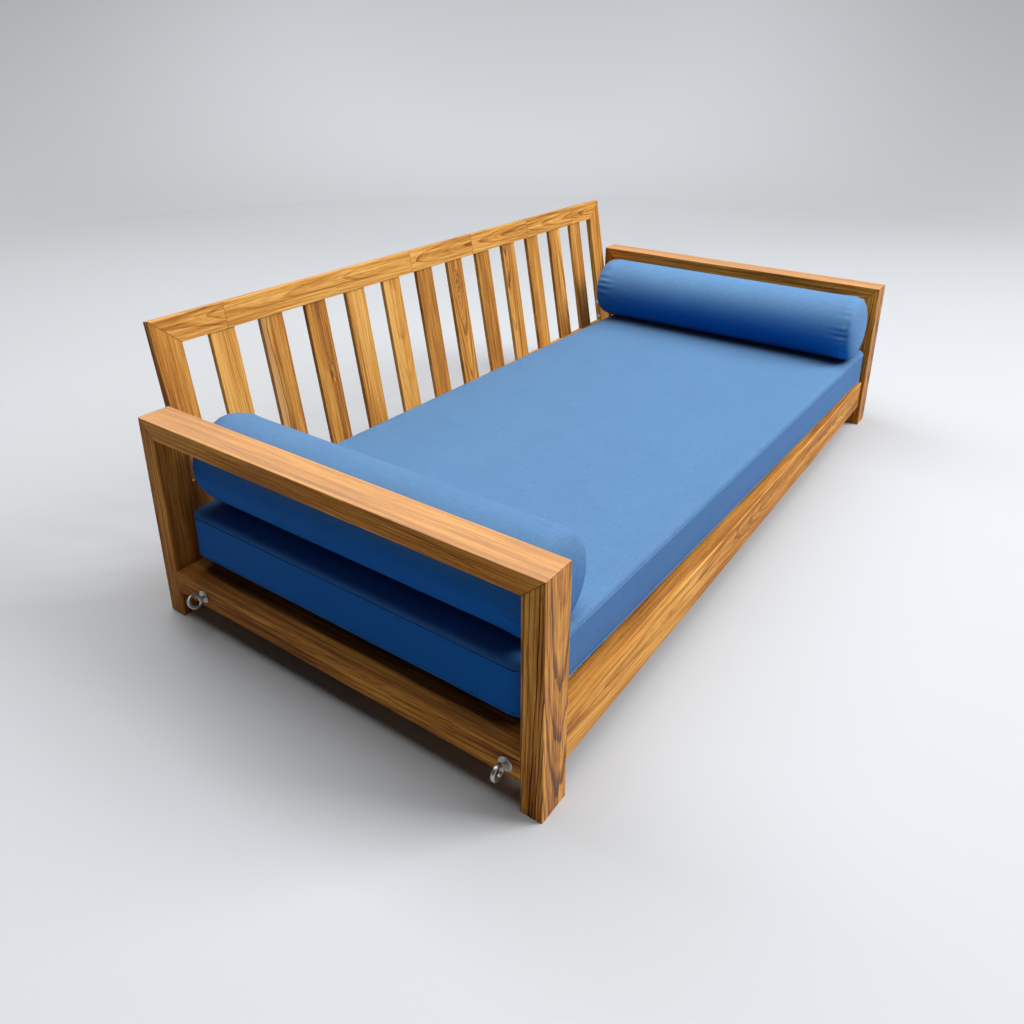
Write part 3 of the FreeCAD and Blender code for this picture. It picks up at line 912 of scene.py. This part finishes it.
# ---- bolsters ----
bolster_around = 144        # points round a bolster
bolster_row = 0.0048        # from one ring of points to the next
bolster_dome = 0.036        # length of the domed end
dome_rows = 26
dome_power = 2.6            # of the ellipse that gives the dome's section
bolster_shrink = 0.004      # the roll starts thinner by this, and swells
bolster_swell = 0.008

seam_in = 0.036             # from the end of a bolster to its seam
seam_dip, seam_width = -0.0022, 0.0035
pucker_height = 0.0080
pucker_inner = 0.012        # how far puckers run from the seam towards the end
curve_points = 512          # of each random curve round a seam
press_give = 0.004          # height over which a roll is pressed flat


def make_bolster(name, x, z, radius, y_front, y_rear, seed, painted_light_low, pale):
    rng = np.random.default_rng(seed)
    length = y_rear - y_front
    body_length = length - 2 * bolster_dome
    body_rows = round(body_length / bolster_row)
    profile = []
    for step in range(dome_rows):
        share = step / dome_rows
        reach = share ** 0.9
        height = 1 - (1 - reach ** dome_power) ** (1 / dome_power)
        profile.append((bolster_dome * height, reach * radius))
    body = [(bolster_dome + body_length * i / body_rows, radius) for i in range(body_rows + 1)]
    tail = [(length - y, r) for y, r in reversed(profile)]
    line = profile + body + tail
    angles = np.linspace(0, 2 * math.pi, bolster_around, endpoint=False)
    points = [(0.0, 0.0, 0.0)]
    for y, r in line[1:-1]:
        for angle in angles:
            points.append((r * math.cos(angle), y, r * math.sin(angle)))
    points.append((0.0, length, 0.0))
    rows = len(line) - 2
    faces = []
    for i in range(bolster_around):
        faces.append([0, 1 + i, 1 + (i + 1) % bolster_around])
    for row in range(rows - 1):
        for i in range(bolster_around):
            a = 1 + row * bolster_around + i
            b = 1 + row * bolster_around + (i + 1) % bolster_around
            faces.append([a, a + bolster_around, b + bolster_around, b])
    last = 1 + (rows - 1) * bolster_around
    for i in range(bolster_around):
        faces.append([len(points) - 1, last + (i + 1) % bolster_around, last + i])
    points = np.array(points)
    points[:, [0, 2]] *= (radius - bolster_shrink) / radius
    material = fabric_material(name + "_canvas", (x, z, radius), painted_light_low, pale=pale)
    piece = mesh_object(name, points, faces, material)
    points = puff(piece, bolster_swell)
    points = gather(points, length, radius, rng)
    points += np.array([x, y_front, z])
    return piece, points


def gather(points, length, radius, rng):
    """Small puckers that run off the seam near each end, and the seam's own dip."""
    points = points.copy()
    angle = np.arctan2(points[:, 2], points[:, 0])
    spot = (angle / (2 * math.pi)) % 1.0
    out = np.hypot(points[:, 0], points[:, 2])
    count = curve_points
    around = np.arange(count + 1)
    for end in (0, 1):
        ripple = smooth_random(rng, count, 40) * 0.6 + smooth_random(rng, count, 18) * 0.4
        strength = 0.30 + 0.90 * smooth_random(rng, count, 6) ** 2
        reach = 0.018 + 0.026 * np.abs(smooth_random(rng, count, 14))
        place = spot * count
        wave = np.interp(place, around, np.append(ripple, ripple[0]))
        level = np.interp(place, around, np.append(strength, strength[0]))
        size = np.interp(place, around, np.append(reach, reach[0]))
        way = points[:, 1] if end == 0 else length - points[:, 1]
        off = way - seam_in
        fade = np.exp(-((off / np.where(off > 0, size, pucker_inner)) ** 2))
        rim = np.clip((out - radius * 0.6) / (radius * 0.3), 0, 1)
        dip = seam_dip * np.exp(-((off / seam_width) ** 2))
        change = (pucker_height * wave * level * fade + dip) * rim
        points[:, 0] += change * np.cos(angle)
        points[:, 2] += change * np.sin(angle)
    return points


def rest_on_pad(points, floor_z):
    """Presses the lowest part of a roll flat on the mattress."""
    points = points.copy()
    low = points[:, 2] < floor_z + press_give
    depth = (floor_z + press_give - points[:, 2]) / press_give
    pressed = floor_z + press_give * np.exp(-np.maximum(depth, 0))
    points[:, 2] = np.where(low, pressed, points[:, 2])
    return points


pad_top = pad_points[:, 2].max()
left_roll, roll_points = make_bolster(
    "left_bolster_cover", x=-0.897, z=0.3775, radius=0.103, y_front=-0.5010, y_rear=0.3970,
    seed=4, painted_light_low=painted_light_none, pale=1.0,
)
set_points(left_roll, rest_on_pad(roll_points, pad_top + soft_gap))
# The right bolster gets more painted light: its paler blue reaches further down its shaded side,
# and pale brightens all of its cloth.
right_roll, roll_points = make_bolster(
    "right_bolster_cover", x=0.813, z=0.3825, radius=0.106, y_front=-0.5430, y_rear=0.3990,
    seed=7, painted_light_low=-0.60, pale=1.17,
)
set_points(right_roll, rest_on_pad(roll_points, pad_top + soft_gap))
subdivide(left_roll)
subdivide(right_roll)

# ---- clear of the arm ----
arm_gap = 0.0012            # between the cloth and the arm rail
dent_reach = 0.045          # from the arm rail to where the cloth keeps its shape
dent_rounds = 80            # of smoothing
dent_pace = 0.5             # share of the way to its neighbours that a point moves in a round


def clear_of_arm(points, low, high):
    """Pushes points out of an arm rail's box, by the shorter of the ways down or inwards."""
    points = points.copy()
    box_low = np.array(low) - arm_gap
    box_high = np.array(high) + arm_gap
    inside = ((points > box_low) & (points < box_high)).all(1)
    down = points[:, 2] - box_low[2]
    inward = box_high[0] - points[:, 0]
    go_down = inside & (down <= inward)
    go_in = inside & (down > inward)
    points[go_down, 2] = box_low[2]
    points[go_in, 0] = box_high[0]
    return points


def press_on_arm(piece, low, high):
    """Dents the cloth round an arm rail's box, softly, so that none of it is inside."""
    points = clear_of_arm(get_points(piece), low, high)
    beyond = np.maximum(np.maximum(np.array(low) - points, points - np.array(high)), 0)
    near = np.clip(1 - np.linalg.norm(beyond, axis=1) / dent_reach, 0, 1)[:, None] * dent_pace
    edges = np.array([edge.vertices[:] for edge in piece.data.edges])
    start, end = np.concatenate([edges, edges[:, ::-1]]).T
    count = np.bincount(start, minlength=len(points))[:, None]
    for _ in range(dent_rounds):
        total = [np.bincount(start, points[end, axis], len(points)) for axis in range(3)]
        points = points + (np.stack(total, 1) / count - points) * near
        points = clear_of_arm(points, low, high)
    set_points(piece, points)


press_on_arm(left_roll, arm_low, arm_high)

for piece, body, stands_for in (
    (mattress, "mattress", "mattress"),
    (left_roll, "left_bolster", "left_bolster"),
    (right_roll, "right_bolster", "right_bolster"),
):
    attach(piece, body)
    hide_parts(stands_for)
for piece in (top_welt, bottom_welt):
    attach(piece, "mattress")

# ---- stage ----
floor_tone = (0.515, 0.53, 0.55)
cloud_tone = 0.985          # of the floor tone, in the paper's darker clouds
# A painted pool of light on the backdrop: its middle, its outer reach and the reach of its full
# core.
light_pool_place = (7.02, 5.15, 1.69)
light_pool_reach = 6.0
light_pool_core = 2.0
light_pool_tone = 1.51            # of the floor tone, in the middle of the painted pool of light
stage_rim = 5.2             # radius of the flat floor
stage_sides = 96
wall_radius = 4.5           # of the curve from the floor up to the wall
wall_steps = 16
wall_height = 9.0


def make_stage():
    """A round floor, and a wall that curves up from its rim and that only the camera sees.

    One soft pool of light is painted on the paper, on the wall behind the daybed's right end.
    """
    material, t, shader = new_material("stage_paper")
    place = t.node("ShaderNodeTexCoord").outputs["Object"]
    cloud = t.noise(t.vector("MULTIPLY", place, (3.0, 3.0, 3.0)), 1.0, 3.0)["Fac"]
    darker = tuple(value * cloud_tone for value in floor_tone)
    paper = t.mix(cloud, (*darker, 1), (*floor_tone, 1))
    # Painted light: the paper is mixed towards a paler tone round one place on the wall.
    light_pool = t.node("ShaderNodeVectorMath", {0: place, 1: light_pool_place}, operation="DISTANCE")
    lit = t.step(light_pool.outputs["Value"], light_pool_reach, light_pool_core)
    brighter = tuple(value * light_pool_tone for value in floor_tone)
    t.put(t.mix(lit, paper, (*brighter, 1)), shader.inputs["Base Color"])
    shader.inputs["Roughness"].default_value = 0.9
    shader.inputs["Specular IOR Level"].default_value = 0.1
    sides = stage_sides
    angles = [2 * math.pi * i / sides for i in range(sides)]
    circle = [(stage_rim * math.cos(a), stage_rim * math.sin(a), 0.0) for a in angles]
    floor = mesh_object("floor", circle, [list(range(sides))], material)
    profile = []
    for step in range(wall_steps + 1):
        turn = math.pi / 2 * step / wall_steps
        out, up = wall_radius * math.sin(turn), wall_radius * (1 - math.cos(turn))
        profile.append((stage_rim + out, up))
    profile.append((stage_rim + wall_radius, wall_height))
    points = [(r * math.cos(a), r * math.sin(a), z) for r, z in profile for a in angles]
    faces = []
    for row in range(len(profile) - 1):
        for i in range(sides):
            a = row * sides + i
            b = row * sides + (i + 1) % sides
            faces.append([a, b, b + sides, a + sides])
    wall = mesh_object("backdrop", points, faces, material)
    wall.visible_diffuse = False
    wall.visible_glossy = False
    wall.visible_shadow = False


make_stage()


def area_light(name, place, target, size, power):
    data = bpy.data.lights.new(name, "AREA")
    data.shape = "RECTANGLE"
    data.size, data.size_y = size
    data.energy = power
    light = bpy.data.objects.new(name, data)
    light.location = place
    light.rotation_euler = (Vector(target) - Vector(place)).to_track_quat("-Z", "Y").to_euler()
    scene.collection.objects.link(light)


# Name, place, the point it faces, size in metres, power in watts.
area_light("key", (4.2, -6.9, 6.8), (0, 0, 0.2), (5.0, 5.0), 1090)
area_light("back", (0.2, 5.8, 6.2), (0, 0, 0.2), (5.0, 5.0), 270)
area_light("overhead", (0.3, -0.3, 5.3), (0.3, 0, 0.0), (3.0, 6.0), 240)
area_light("left_fill", (-1.7, -0.3, 4.6), (-1.7, -0.3, 0.0), (1.0, 3.0), 28)
world = bpy.data.worlds.new("studio")
world.use_nodes = True
world.node_tree.nodes["Background"].inputs["Color"].default_value = (0.95, 0.97, 1.0, 1)
world.node_tree.nodes["Background"].inputs["Strength"].default_value = 0.05
scene.world = world
scene.view_settings.view_transform = "Standard"
